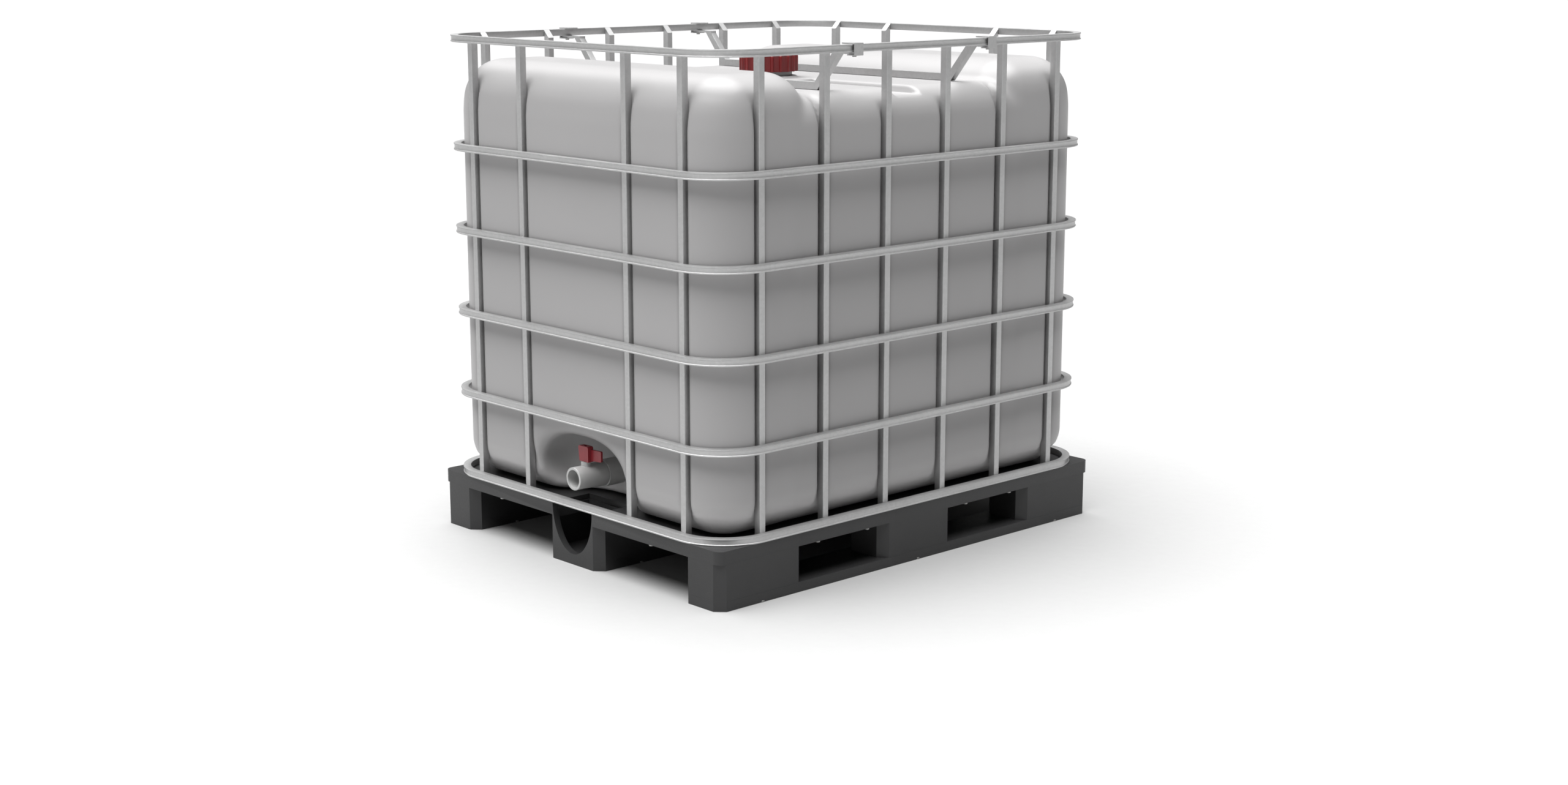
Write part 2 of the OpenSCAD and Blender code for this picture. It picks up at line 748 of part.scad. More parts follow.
// A block over the stem with one flat arm standing out to its right
module valve_handle() {
    color([0.55, 0.1, 0.1]) spindle_turn() difference() {
        union() {
            translate([0, -hub_half_d, handle_z]) stand_xz(2 * hub_half_d)
                polygon([[-hub_half_w + 3.5, 0], [hub_half_w, 0], [hub_half_w, handle_h - 3],
                    [hub_half_w - 3, handle_h], [-hub_half_w + 3, handle_h], [-hub_half_w, handle_h - 3]]);
            translate([0, arm_front, handle_z]) stand_xz(arm_t)
                polygon([[hub_half_w - 3, 2.5], [handle_reach - 2, 5], [handle_reach, 7],
                    [handle_reach, 27.5], [handle_reach - 2, 29.5], [hub_half_w - 3, 28]]);
        }
        translate([-3.5, -3.5, handle_z - 1]) cube([7, 7, handle_h * 0.6 + 0.01]);
        translate([0, 0, handle_z + 5]) cylinder(r = 1.5, h = handle_h);
        translate([0, 0, handle_z + handle_h * 0.6]) cylinder(r = 4, h = handle_h);
    }
}

module handle_screw() {
    seat = handle_z + handle_h * 0.6;
    color([0.6, 0.6, 0.6]) spindle_turn() union() {
        translate([0, 0, seat]) cylinder(r = 3.6, h = 2.4);
        translate([0, 0, seat - 14]) cylinder(r = 1.5, h = 14 + eps);
    }
}

pallet_deck();
foot_front_left();
foot_front_centre();
foot_front_right();
foot_middle_left();
foot_middle_centre();
foot_middle_right();
foot_rear_left();
foot_rear_centre();
foot_rear_right();
runner_left();
runner_centre();
runner_right();
pallet_screws();
cage_screws();
rail_bottom();
rail_second();
rail_third();
rail_fourth();
rail_fifth();
rail_top();
upright_front_1();
upright_front_2();
upright_front_3();
upright_front_4();
upright_rear_1();
upright_rear_2();
upright_rear_3();
upright_rear_4();
upright_left_1();
upright_left_2();
upright_left_3();
upright_left_4();
upright_left_5();
upright_left_6();
upright_right_1();
upright_right_2();
upright_right_3();
upright_right_4();
upright_right_5();
upright_right_6();
cross_bar_front();
cross_bar_rear();
bar_clips();
clip_screws();
bottle();
lid();
lid_gasket();
union_nut();
outlet_gasket();
valve_body();
stem_bush();
stem_o_rings();
valve_stem();
valve_disc();
disc_seal();
valve_handle();
handle_screw();
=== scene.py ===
"""Looks for the intermediate bulk container: shell, cage, pallet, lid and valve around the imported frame."""

import json
import math

import bmesh
import bpy
import numpy as np
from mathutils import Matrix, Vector


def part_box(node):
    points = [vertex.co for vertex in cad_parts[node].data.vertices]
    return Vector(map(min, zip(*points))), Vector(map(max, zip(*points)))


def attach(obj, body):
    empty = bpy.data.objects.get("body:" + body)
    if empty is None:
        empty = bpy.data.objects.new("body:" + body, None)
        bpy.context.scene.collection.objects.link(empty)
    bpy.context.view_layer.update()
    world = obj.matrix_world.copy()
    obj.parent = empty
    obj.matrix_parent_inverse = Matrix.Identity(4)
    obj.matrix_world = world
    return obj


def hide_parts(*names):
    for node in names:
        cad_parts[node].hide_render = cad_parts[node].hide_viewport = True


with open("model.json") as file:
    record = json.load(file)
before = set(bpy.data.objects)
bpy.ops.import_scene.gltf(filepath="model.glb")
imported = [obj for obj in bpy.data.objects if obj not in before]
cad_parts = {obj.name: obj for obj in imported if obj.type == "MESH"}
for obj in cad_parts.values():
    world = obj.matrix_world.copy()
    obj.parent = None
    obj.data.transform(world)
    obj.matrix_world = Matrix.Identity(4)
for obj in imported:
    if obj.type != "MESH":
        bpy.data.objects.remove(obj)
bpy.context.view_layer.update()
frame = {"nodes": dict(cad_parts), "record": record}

MM = 0.001
ROOT = "container"


def low(node):
    """Lowest corner of a CAD node in millimetres."""
    return np.array(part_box(node)[0]) / MM


def high(node):
    """Highest corner of a CAD node in millimetres."""
    return np.array(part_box(node)[1]) / MM


# ---------- driving sizes, in millimetres, read from the frame ----------

RAILS = ["rail_bottom", "rail_second", "rail_third", "rail_fourth", "rail_fifth", "rail_top"]
HALF_W = high("rail_top")[0]
HALF_L = high("rail_top")[1]
RAIL_H = high("rail_top")[2] - low("rail_top")[2]
DECK_Z = low("rail_bottom")[2]
# Radius of the cage's outer corners, seen from above
CAGE_R = 127.0
RAIL_D = HALF_W - high("upright_right_1")[0]
TUBE_W = high("upright_right_1")[1] - low("upright_right_1")[1]
TUBE_D = high("upright_right_1")[0] - low("upright_right_1")[0]
FRONT_X = [(low(n)[0] + high(n)[0]) / 2 for n in ["upright_front_%d" % k for k in (1, 2, 3, 4)]]
SIDE_Y = [(low(n)[1] + high(n)[1]) / 2 for n in ["upright_right_%d" % k for k in (1, 2, 3, 4, 5, 6)]]
FORM_HW = high("bottle")[0]
FORM_HL = high("bottle")[1]
NECK_TOP = high("bottle")[2]
LID_LOW, LID_HIGH = low("lid")[2], high("lid")[2]
LID_R = high("lid")[0]


# ---------- materials ----------

# A noise texture's values lie mostly between these two
NOISE_RANGE = (0.3, 0.7)
# Depth of the fine bump on moulded and on drawn surfaces, in metres
GRAIN_DEPTH = 0.0006
DRAWN_DEPTH = 0.0004


def nodes_of(name):
    """A new material, its principled shader and two helpers that add nodes and link sockets."""
    mat = bpy.data.materials.new(name)
    mat.use_nodes = True
    tree = mat.node_tree

    def add(kind, **values):
        made = tree.nodes.new(kind)
        for key, value in values.items():
            if hasattr(made, key):
                setattr(made, key, value)
            else:
                made.inputs[key.replace("_", " ").title()].default_value = value
        return made
    return mat, tree.nodes["Principled BSDF"], add, tree.links.new


def grey(value):
    """A neutral colour."""
    return (value, value, value)


def ramp(add, low_at, high_at, low_colour, high_colour):
    """A blend from one colour to another over a range of a texture's values."""
    made = add("ShaderNodeValToRGB")
    made.color_ramp.elements[0].position = low_at
    made.color_ramp.elements[1].position = high_at
    made.color_ramp.elements[0].color = (*low_colour, 1)
    made.color_ramp.elements[1].color = (*high_colour, 1)
    return made


def vary_roughness(shader, add, link, source, limits, roughness):
    """Maps a texture's values from limits to a range of roughness."""
    gloss = add("ShaderNodeMapRange", From_Min=limits[0], From_Max=limits[1],
                To_Min=roughness[0], To_Max=roughness[1])
    link(source, gloss.inputs["Value"])
    link(gloss.outputs["Result"], shader.inputs["Roughness"])


def fine_bump(shader, add, link, source, strength, depth):
    """Bumps the surface by a texture's values."""
    relief = add("ShaderNodeBump", Strength=strength, Distance=depth)
    link(source, relief.inputs["Height"])
    link(relief.outputs["Normal"], shader.inputs["Normal"])


def moulded(name, colour, spread, rough, rough_spread, grain, bump, metallic=0.0, patch=6.0):
    """A surface with soft patches of tone, fine grain in its gloss and a fine bump."""
    mat, shader, add, link = nodes_of(name)
    coord = add("ShaderNodeTexCoord")
    soft = add("ShaderNodeTexNoise", Scale=patch, Detail=3.0, Roughness=0.55)
    fine = add("ShaderNodeTexNoise", Scale=grain, Detail=4.0, Roughness=0.6)
    for texture in (soft, fine):
        link(coord.outputs["Object"], texture.inputs["Vector"])
    dark = [max(c * (1 - spread), 0) for c in colour]
    light = [min(c * (1 + spread), 1) for c in colour]
    tone = ramp(add, *NOISE_RANGE, dark, light)
    link(soft.outputs["Fac"], tone.inputs["Fac"])
    link(tone.outputs["Color"], shader.inputs["Base Color"])
    vary_roughness(shader, add, link, fine.outputs["Fac"], limits=NOISE_RANGE,
                   roughness=(rough - rough_spread, rough + rough_spread))
    fine_bump(shader, add, link, fine.outputs["Fac"], bump, GRAIN_DEPTH)
    shader.inputs["Metallic"].default_value = metallic
    return mat


def galvanised(name):
    """Zinc-coated steel: faint spangle cells, fine drawing lines and soft stains."""
    mat, shader, add, link = nodes_of(name)
    coord = add("ShaderNodeTexCoord")
    cells = add("ShaderNodeTexVoronoi", Scale=170.0)
    stain = add("ShaderNodeTexNoise", Scale=9.0, Detail=5.0, Roughness=0.6)
    fine = add("ShaderNodeTexNoise", Scale=900.0, Detail=2.0, Roughness=0.6)
    for texture in (cells, stain, fine):
        link(coord.outputs["Object"], texture.inputs["Vector"])
    tone = ramp(add, 0.0, 1.0, grey(0.44), grey(0.52))
    link(cells.outputs["Color"], tone.inputs["Fac"])
    dull = ramp(add, 0.35, 0.75, grey(0.45), grey(0.52))
    link(stain.outputs["Fac"], dull.inputs["Fac"])
    mix = add("ShaderNodeMix", data_type="RGBA")
    # sockets 0, 6 and 7 of a colour mix are its factor and its two colours, and output 2 is the result
    mix.inputs[0].default_value = 0.5
    link(tone.outputs["Color"], mix.inputs[6])
    link(dull.outputs["Color"], mix.inputs[7])
    link(mix.outputs[2], shader.inputs["Base Color"])
    vary_roughness(shader, add, link, stain.outputs["Fac"], limits=(0.0, 1.0), roughness=(0.38, 0.55))
    fine_bump(shader, add, link, fine.outputs["Fac"], strength=0.12, depth=DRAWN_DEPTH)
    shader.inputs["Metallic"].default_value = 0.92
    return mat


def painted_foot_light(mat, top, gain):
    """Makes a material paler below a height: painted light on the bottle's foot, standing in for light thrown
    up from below.
    """
    tree = mat.node_tree
    shader = tree.nodes["Principled BSDF"]
    tone = shader.inputs["Base Color"].links[0].from_socket
    coord = tree.nodes.new("ShaderNodeTexCoord")
    split = tree.nodes.new("ShaderNodeSeparateXYZ")
    fade = tree.nodes.new("ShaderNodeMapRange")
    fade.interpolation_type = "SMOOTHSTEP"
    fade.inputs["From Min"].default_value = top * MM
    fade.inputs["From Max"].default_value = DECK_Z * MM
    fade.inputs["To Min"].default_value = 1.0
    fade.inputs["To Max"].default_value = gain
    scale = tree.nodes.new("ShaderNodeVectorMath")
    scale.operation = "SCALE"
    tree.links.new(coord.outputs["Object"], split.inputs[0])
    tree.links.new(split.outputs["Z"], fade.inputs["Value"])
    tree.links.new(tone, scale.inputs[0])
    tree.links.new(fade.outputs["Result"], scale.inputs["Scale"])
    tree.links.new(scale.outputs[0], shader.inputs["Base Color"])


BY_SLOT = {
    "galvanised_tube": galvanised("galvanised_tube"),
    "bottle_plastic": moulded("bottle_plastic", (0.285, 0.281, 0.282), spread=0.02, rough=0.38,
                              rough_spread=0.05, grain=420.0, bump=0.10, patch=2.2),
    "pallet_plastic": moulded("pallet_plastic", (0.019, 0.019, 0.0195), spread=0.16, rough=0.42,
                              rough_spread=0.07, grain=520.0, bump=0.30, patch=5.0),
    "lid_plastic": moulded("lid_plastic", (0.13, 0.006, 0.007), spread=0.10, rough=0.38,
                           rough_spread=0.06, grain=700.0, bump=0.15, patch=20.0),
    "handle_plastic": moulded("handle_plastic", (0.185, 0.012, 0.018), spread=0.10, rough=0.36,
                              rough_spread=0.06, grain=900.0, bump=0.15, patch=30.0),
    "valve_plastic": moulded("valve_plastic", (0.35, 0.35, 0.347), spread=0.04, rough=0.36,
                             rough_spread=0.06, grain=800.0, bump=0.12, patch=18.0),
    "inner_plastic": moulded("inner_plastic", (0.66, 0.66, 0.64), spread=0.03, rough=0.40,
                             rough_spread=0.05, grain=800.0, bump=0.10, patch=25.0),
    "zinc_screw": moulded("zinc_screw", (0.32, 0.32, 0.31), spread=0.10, rough=0.45,
                          rough_spread=0.10, grain=900.0, bump=0.20, metallic=0.9, patch=120.0),
    "seal_rubber": moulded("seal_rubber", grey(0.022), spread=0.20, rough=0.62,
                           rough_spread=0.06, grain=900.0, bump=0.25, patch=60.0),
}
SLOT_OF = {part["node"]: part["material_slot"] for part in frame["record"]["subparts"]}

# Painted light: the bottle's colour is made paler up to this height over the deck, at most by this factor, in
# place of light thrown up from below
PAINTED_LIGHT_HEIGHT = 95.0
PAINTED_LIGHT_GAIN = 2.3
SHELL_SPECULAR = 0.28

shell_plastic = BY_SLOT["bottle_plastic"]
# painted light: the bottle's foot is given a paler colour in place of light thrown up from below
painted_foot_light(shell_plastic, DECK_Z + PAINTED_LIGHT_HEIGHT, PAINTED_LIGHT_GAIN)
shell_plastic.node_tree.nodes["Principled BSDF"].inputs["Specular IOR Level"].default_value = SHELL_SPECULAR
for node_name, node_object in frame["nodes"].items():
    node_object.data.materials.clear()
    node_object.data.materials.append(BY_SLOT[SLOT_OF[node_name]])


# ---------- mesh helpers ----------

# Angles, in degrees, above which an edge between two faces is shaded sharp
SHARP_PIECE = 30.0
SHARP_SOFTENED = 35.0
SHARP_UPRIGHT = 32.0
SHARP_LID = 38.0
SHARP_BOTTLE = 42.0
# How a CAD copy is cleaned before its edges are rounded: metres and radians
WELD = 0.00001
FLAT_ANGLE = math.radians(0.6)
BEVEL_ANGLE = math.radians(28)


def piece(name, verts, faces, slot, body=ROOT, replaces=(), sharp=SHARP_PIECE):
    """A mesh in millimetres made into an object that rides on a body and stands for its CAD nodes."""
    mesh = bpy.data.meshes.new(name)
    mesh.from_pydata((np.asarray(verts, float) * MM).tolist(), [], [list(f) for f in faces])
    mesh.validate()
    dress(name, mesh, slot, body, replaces, sharp)


def dress(name, mesh, slot, body, replaces, sharp):
    """Puts a mesh into the scene with its material, its body and the CAD nodes it stands for."""
    obj = bpy.data.objects.new(name, mesh)
    bpy.context.scene.collection.objects.link(obj)
    mesh.materials.clear()
    mesh.materials.append(BY_SLOT[slot])
    mesh.shade_smooth()
    mesh.set_sharp_from_angle(angle=math.radians(sharp))
    if replaces:
        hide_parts(*replaces)
    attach(obj, body)
    return obj


def softened(node, width, segments=2, body=ROOT):
    """A copy of a CAD node with its flat faces merged and its edges rounded."""
    bm = bmesh.new()
    bm.from_mesh(frame["nodes"][node].data)
    bmesh.ops.remove_doubles(bm, verts=bm.verts, dist=WELD)
    bmesh.ops.dissolve_limit(bm, angle_limit=FLAT_ANGLE, verts=bm.verts, edges=bm.edges)
    mesh = bpy.data.meshes.new(node + "_look")
    bm.to_mesh(mesh)
    bm.free()
    obj = dress(node + "_look", mesh, SLOT_OF[node], body, (node,), SHARP_SOFTENED)
    bevel = obj.modifiers.new("edge", "BEVEL")
    bevel.width = width * MM
    bevel.segments = segments
    bevel.limit_method = "ANGLE"
    bevel.angle_limit = BEVEL_ANGLE
    bevel.harden_normals = True
    bevel.use_clamp_overlap = True


# A rounded corner takes at most this share of each side beside it
CORNER_SHARE = 0.45


def round_corners(points, radius, steps):
    """Rounds each corner of a closed outline of (a, b) points; radius is one value or one per corner."""
    out = []
    count = len(points)
    for k, here in enumerate(points):
        here = np.array(here, float)
        before = np.array(points[k - 1], float) - here
        after = np.array(points[(k + 1) % count], float) - here
        r = radius[k] if isinstance(radius, list) else radius
        reach = min(r, np.linalg.norm(before) * CORNER_SHARE, np.linalg.norm(after) * CORNER_SHARE)
        start = here + before / np.linalg.norm(before) * reach
        end = here + after / np.linalg.norm(after) * reach
        for t in np.linspace(0, 1, steps + 1):
            out.append((1 - t) ** 2 * start + 2 * t * (1 - t) * here + t ** 2 * end)
    return np.array(out)


def tube_faces(rings, count, close_path):
    """Quads between successive rings of count points each; an open run of rings is capped at both ends."""
    faces = []
    last = rings if close_path else rings - 1
    for i in range(last):
        a, b = i * count, ((i + 1) % rings) * count
        for j in range(count):
            k = (j + 1) % count
            faces.append((a + j, a + k, b + k, b + j))
    if not close_path:
        faces.append(tuple(range(count))[::-1])
        faces.append(tuple((rings - 1) * count + j for j in range(count)))
    return faces


def lathe(profile, steps, axis="Z", centre=(0, 0, 0)):
    """Turns a closed outline of (radius, height) about an axis."""
    profile = np.asarray(profile, float)
    angles = np.linspace(0, 2 * math.pi, steps, endpoint=False)
    rings = []
    for a in angles:
        x, y, h = profile[:, 0] * math.cos(a), profile[:, 0] * math.sin(a), profile[:, 1]
        rings.append(np.stack([x, y, h] if axis == "Z" else [x, h, -y], 1))
    verts = np.concatenate(rings) + np.array(centre, float)
    return verts, tube_faces(steps, len(profile), close_path=True)


def joined(*parts):
    """Several (verts, faces) made into one."""
    verts, faces, shift = [], [], 0
    for v, f in parts:
        verts.append(np.asarray(v, float))
        faces += [tuple(i + shift for i in face) for face in f]
        shift += len(v)
    return np.concatenate(verts), faces


# ---------- bottle: a smooth field, skinned with a net of quads ----------

def smooth_max(a, b, k):
    """The larger of two fields, rounded over a width k where they meet."""
    h = np.maximum(k - np.abs(a - b), 0) / k
    return np.maximum(a, b) + h * h * k * 0.25


def smooth_min(a, b, k):
    """The smaller of two fields, rounded over a width k where they meet."""
    return -smooth_max(-a, -b, k)


def fillet(a, b, r):
    """Meeting of two walls with an edge of radius r."""
    u, v = np.maximum(a + r, 0), np.maximum(b + r, 0)
    return np.sqrt(u * u + v * v) + np.minimum(np.maximum(a, b) + r, 0) - r


# Radii of the bottle: its upright corners, foot, end blocks' crown, middle's shoulder, blocks' inner edge
CORNER_R = 104.0
BASE_R = 86.0
CROWN_R = 95.0
MID_R = 74.0
RIDGE_R = 92.0
# The foot's gap over the deck, how far its corner is cut back by a flat band, and that band's softness
STAND_OFF = 0.5
BASE_FLAT = 39.0
BASE_BLEND = 1.5
# Heights of the end blocks and of the middle, and where the blocks begin
RIDGE_TOP = 1102.0
MID_TOP = low("cross_bar_front")[2] - 1.0
RIDGE_Y = 282.0
RIDGE_BLEND = 9.0
# Upright grooves behind the tubes
SLOT_HALF = 10.5
SLOT_DEPTH = 10.5
SLOT_FLOOR_BLEND = 6.0
SLOT_SOFT = 13.0
# Notches over the shoulder where the end blocks meet the middle, deeper with height
VALLEY_Y = SIDE_Y[-2]
VALLEY_HALF = 6.0
VALLEY_FROM = 985.0
VALLEY_SLOPE = 0.55
VALLEY_BLEND = 10.0
VALLEY_SOFT = 16.0
# Drain channels from the neck to the long sides
DRAIN_HALF = 37.0
DRAIN_Z = 1038.0
DRAIN_X = 118.0
DRAIN_FLARE = 0.35
DRAIN_FLOOR_BLEND = 4.0
DRAIN_END_BLEND = 14.0
DRAIN_SOFT = 5.0
# Valve pocket: half width, depth and half height of the bowl, and how squarely each way closes
VALVE_Z = (low("disc_seal")[2] + high("disc_seal")[2]) / 2
POCKET = np.array([150.0, 134.0, 94.0])
POCKET_POWER = np.array([2.5, 3.0, 2.3])
POCKET_SCALE = POCKET[2] * 0.92
POCKET_Z = VALVE_Z - 2.0
POCKET_PROUD = 2.0
POCKET_SOFT = 26.0
# Collar at the neck's foot, the neck's bore and a plain cavity that the open neck shows
COLLAR_R = 66.0
COLLAR_UP = 4.5
COLLAR_EDGE = 3.0
COLLAR_DOWN = 30.0
COLLAR_BLEND = 5.0
BORE_R = 47.0
BORE_LOW = 940.0
CAVITY = np.array([260.0, 300.0])
CAVITY_LOW, CAVITY_HIGH = 260.0, 1020.0
CAVITY_BLEND = 2.0
# A field value deep inside every shape, and a value that keeps a power away from zero
FAR_OUT = -1e3
TINY = 1e-9


def walls(x, y):
    """Signed distance to the bottle's upright walls, seen from above."""
    qx = np.abs(x) - (FORM_HW - CORNER_R)
    qy = np.abs(y) - (FORM_HL - CORNER_R)
    outside = np.sqrt(np.maximum(qx, 0) ** 2 + np.maximum(qy, 0) ** 2)
    return outside + np.minimum(np.maximum(qx, qy), 0) - CORNER_R


def pocket_field(x, y, z):
    """Roughly the signed distance to the valve pocket, a rounded bowl open to the front."""
    u = np.abs(x) / POCKET[0]
    v = np.abs(y + FORM_HL + POCKET_PROUD) / POCKET[1]
    w = np.abs(z - POCKET_Z) / POCKET[2]
    total = u ** POCKET_POWER[0] + v ** POCKET_POWER[1] + w ** POCKET_POWER[2] + TINY
    return (total ** (1 / POCKET_POWER[0]) - 1) * POCKET_SCALE


def bottle_field(p):
    """Roughly the signed distance to the bottle's skin at points in millimetres, negative inside."""
    x, y, z = p[..., 0], p[..., 1], p[..., 2]
    side = walls(x, y)
    ridge = fillet(z - RIDGE_TOP, RIDGE_Y - np.abs(y), RIDGE_R)
    high_part = fillet(side, ridge, CROWN_R)
    mid_part = fillet(side, z - MID_TOP, MID_R)
    body = smooth_min(high_part, mid_part, RIDGE_BLEND)
    body = fillet(body, DECK_Z + STAND_OFF - z, BASE_R)
    body = smooth_max(body, (side + DECK_Z - z) * math.sqrt(0.5) + BASE_FLAT, BASE_BLEND)
    front = np.abs(y) - (FORM_HL - SLOT_DEPTH)
    right = np.abs(x) - (FORM_HW - SLOT_DEPTH)
    slot_x = np.full(x.shape, FAR_OUT)
    for at in FRONT_X:
        slot_x = np.maximum(slot_x, SLOT_HALF - np.abs(x - at))
    slot_y = np.full(x.shape, FAR_OUT)
    for at in SIDE_Y:
        slot_y = np.maximum(slot_y, SLOT_HALF - np.abs(y - at))
    cut_x = smooth_min(slot_x, front, SLOT_FLOOR_BLEND)
    cut_y = smooth_min(slot_y, right, SLOT_FLOOR_BLEND)
    body = smooth_max(body, np.maximum(cut_x, cut_y), SLOT_SOFT)
    valley = smooth_min(VALLEY_HALF - np.abs(np.abs(y) - VALLEY_Y),
                        right + np.maximum(z - VALLEY_FROM, 0) * VALLEY_SLOPE, VALLEY_BLEND)
    body = smooth_max(body, valley, VALLEY_SOFT)
    across = DRAIN_HALF + DRAIN_FLARE * (z - DRAIN_Z) - np.abs(y)
    channel = smooth_min(z - DRAIN_Z, across, DRAIN_FLOOR_BLEND)
    drain = smooth_min(channel, np.abs(x) - DRAIN_X, DRAIN_END_BLEND)
    body = smooth_max(body, drain, DRAIN_SOFT)
    body = smooth_max(body, -pocket_field(x, y, z), POCKET_SOFT)
    radius = np.sqrt(x * x + y * y)
    collar = fillet(radius - COLLAR_R, z - (MID_TOP + COLLAR_UP), COLLAR_EDGE)
    body = smooth_min(body, np.maximum(collar, MID_TOP - COLLAR_DOWN - z), COLLAR_BLEND)
    hole = np.maximum(radius - BORE_R, BORE_LOW - z)
    cavity = np.maximum(np.maximum(np.abs(x) - CAVITY[0], np.abs(y) - CAVITY[1]),
                        np.maximum(z - CAVITY_HIGH, CAVITY_LOW - z))
    return smooth_max(body, -np.minimum(hole, cavity), CAVITY_BLEND)


# How the net is pulled onto the surface: rounds, half width of a slope's probe in millimetres,
# the least squared slope that is trusted, and the longest pull as a share of a cell
PULLS = 4
PROBE = 0.5
LEAST_SLOPE = 0.25
LONGEST_PULL = 0.4


def skin(field, lo, hi, step):
    """A net of quads over field = 0, its points moved onto the surface."""
    axes = [np.arange(a, b + step, step) for a, b in zip(lo, hi)]
    nx, ny, nz = (len(a) for a in axes)
    values = np.empty((nx, ny, nz), np.float32)
    gy, gz = np.meshgrid(axes[1], axes[2], indexing="ij")
    for i, x in enumerate(axes[0]):
        values[i] = field(np.stack([np.full(gy.shape, x), gy, gz], -1))
    inside = values < 0
    corners = [(i, j, k) for i in (0, 1) for j in (0, 1) for k in (0, 1)]
    total = np.zeros((nx - 1, ny - 1, nz - 1), np.int8)
    for i, j, k in corners:
        total += inside[i:nx - 1 + i, j:ny - 1 + j, k:nz - 1 + k]
    cells = np.argwhere((total > 0) & (total < 8))
    index = np.full(total.shape, -1, np.int64)
    index[tuple(cells.T)] = np.arange(len(cells))
    v8 = {c: values[cells[:, 0] + c[0], cells[:, 1] + c[1], cells[:, 2] + c[2]] for c in corners}
    place = np.zeros((len(cells), 3))
    hits = np.zeros(len(cells))
    for axis in range(3):
        for c in corners:
            if c[axis]:
                continue
            d = list(c)
            d[axis] = 1
            a, b = v8[c], v8[tuple(d)]
            cross = (a < 0) != (b < 0)
            t = np.where(cross, a / np.where(cross, a - b, 1), 0)
            point = np.tile(np.array(c, float), (len(cells), 1))
            point[:, axis] = t
            place += np.where(cross[:, None], point, 0)
            hits += cross
    verts = (cells + place / hits[:, None]) * step + np.array([a[0] for a in axes])
    faces = []
    for axis in range(3):
        one, two = (axis + 1) % 3, (axis + 2) % 3
        here = np.moveaxis(inside, axis, 0)
        change = np.moveaxis(here[:-1] != here[1:], 0, axis)
        found = np.argwhere(change)
        ok = (found[:, one] > 0) & (found[:, two] > 0)
        ok &= (found[:, one] < total.shape[one]) & (found[:, two] < total.shape[two])
        found = found[ok]
        was_in = inside[tuple(found.T)]

        def cell(da, db):
            at = found.copy()
            at[:, one] -= da
            at[:, two] -= db
            return index[tuple(at.T)]
        quad = np.stack([cell(1, 1), cell(0, 1), cell(0, 0), cell(1, 0)], 1)
        quad[~was_in] = quad[~was_in][:, ::-1]
        faces.append(quad)
    faces = np.concatenate(faces)
    for _ in range(PULLS):
        value = field(verts)
        ahead = [field(verts + d) - field(verts - d) for d in np.eye(3) * PROBE]
        slope = np.stack([rise / (2 * PROBE) for rise in ahead], -1)
        size = np.maximum((slope ** 2).sum(-1), LEAST_SLOPE)
        move = -(value / size)[:, None] * slope
        length = np.maximum(np.linalg.norm(move, axis=1), TINY)
        verts = verts + move * np.minimum(1, step * LONGEST_PULL / length)[:, None]
    return verts, faces


# The net's cell, and how far past the bottle it reaches
CELL, QUICK_CELL = 6.0, 14.0
NET_MARGIN = 14.0
# The neck's wall, its edges, its flare at the collar, how far it runs down into the shell and its thread
NECK_OUT = high("lid_gasket")[0] - 2.5
NECK_IN = high("lid_gasket")[0] - 8.5
NECK_CHAMFER, NECK_EDGE = 1.5, 1.0
NECK_FLARE = 2.5
NECK_SUNK = 26.0
THREAD_DROPS = (10.0, 22.0)
THREAD_OUT = 2.0
THREAD_TIP, THREAD_ROOT = 1.0, 2.4
NECK_STEPS = 128
# The outlet boss, from behind the pocket's wall into the union nut
BOSS_STEPS = 64
BOSS_R = high("union_nut")[0] - 4.0
BOSS_BORE = 20.6
BOSS_EDGE = 1.0
BOSS_END = low("outlet_gasket")[1] + 3.0
BOSS_BACK = -FORM_HL + POCKET[1] + 12.0


def neck():
    """The filling neck: an open tube with two turns of thread that stands on a collar."""
    flare_z = MID_TOP + COLLAR_UP
    profile = [(NECK_IN, MID_TOP - NECK_SUNK), (NECK_IN, NECK_TOP - NECK_CHAMFER),
               (NECK_IN + NECK_CHAMFER, NECK_TOP), (NECK_OUT - NECK_EDGE, NECK_TOP),
               (NECK_OUT, NECK_TOP - NECK_EDGE)]
    for z in [NECK_TOP - drop for drop in THREAD_DROPS]:
        profile += [(NECK_OUT, z + THREAD_ROOT), (NECK_OUT + THREAD_OUT, z + THREAD_TIP),
                    (NECK_OUT + THREAD_OUT, z - THREAD_TIP), (NECK_OUT, z - THREAD_ROOT)]
    profile += [(NECK_OUT, flare_z + NECK_FLARE), (NECK_OUT + NECK_FLARE, flare_z),
                (NECK_OUT + NECK_FLARE, MID_TOP - NECK_SUNK)]
    return lathe(profile, NECK_STEPS)


def outlet_boss():
    """The round outlet that the union nut grips."""
    profile = [(BOSS_BORE, BOSS_END), (BOSS_R - BOSS_EDGE, BOSS_END), (BOSS_R, BOSS_END + BOSS_EDGE),
               (BOSS_R, BOSS_BACK), (BOSS_BORE, BOSS_BACK)]
    return lathe(profile, BOSS_STEPS, axis="Y", centre=(0, 0, VALVE_Z))


def bottle():
    """The blow-moulded shell with its neck and outlet."""
    lo = (-FORM_HW - NET_MARGIN, -FORM_HL - NET_MARGIN, DECK_Z - NET_MARGIN)
    hi = (FORM_HW + NET_MARGIN, FORM_HL + NET_MARGIN, RIDGE_TOP + NET_MARGIN)
    verts, faces = skin(bottle_field, lo, hi, CELL)
    verts, faces = joined((verts, faces.tolist()), neck(), outlet_boss())
    piece("bottle_shell", verts, faces, "bottle_plastic", replaces=("bottle",), sharp=SHARP_BOTTLE)


bottle()


# ---------- cage ----------

# A rail's channel: height of its lips, depth and slope of its web, and radii of its edges
LIP = 2.7
SINK = 1.7
WEB_SLOPE = 0.7
OUTER_EDGE, BACK_EDGE, LIP_EDGE = 1.1, 1.6, 0.6
# An upright's edge radius, where its slanted end begins under the tube's depth, and its gap to the top
TUBE_EDGE = 2.2
SLANT_UNDER = 4.0
TUBE_GAP = 0.3


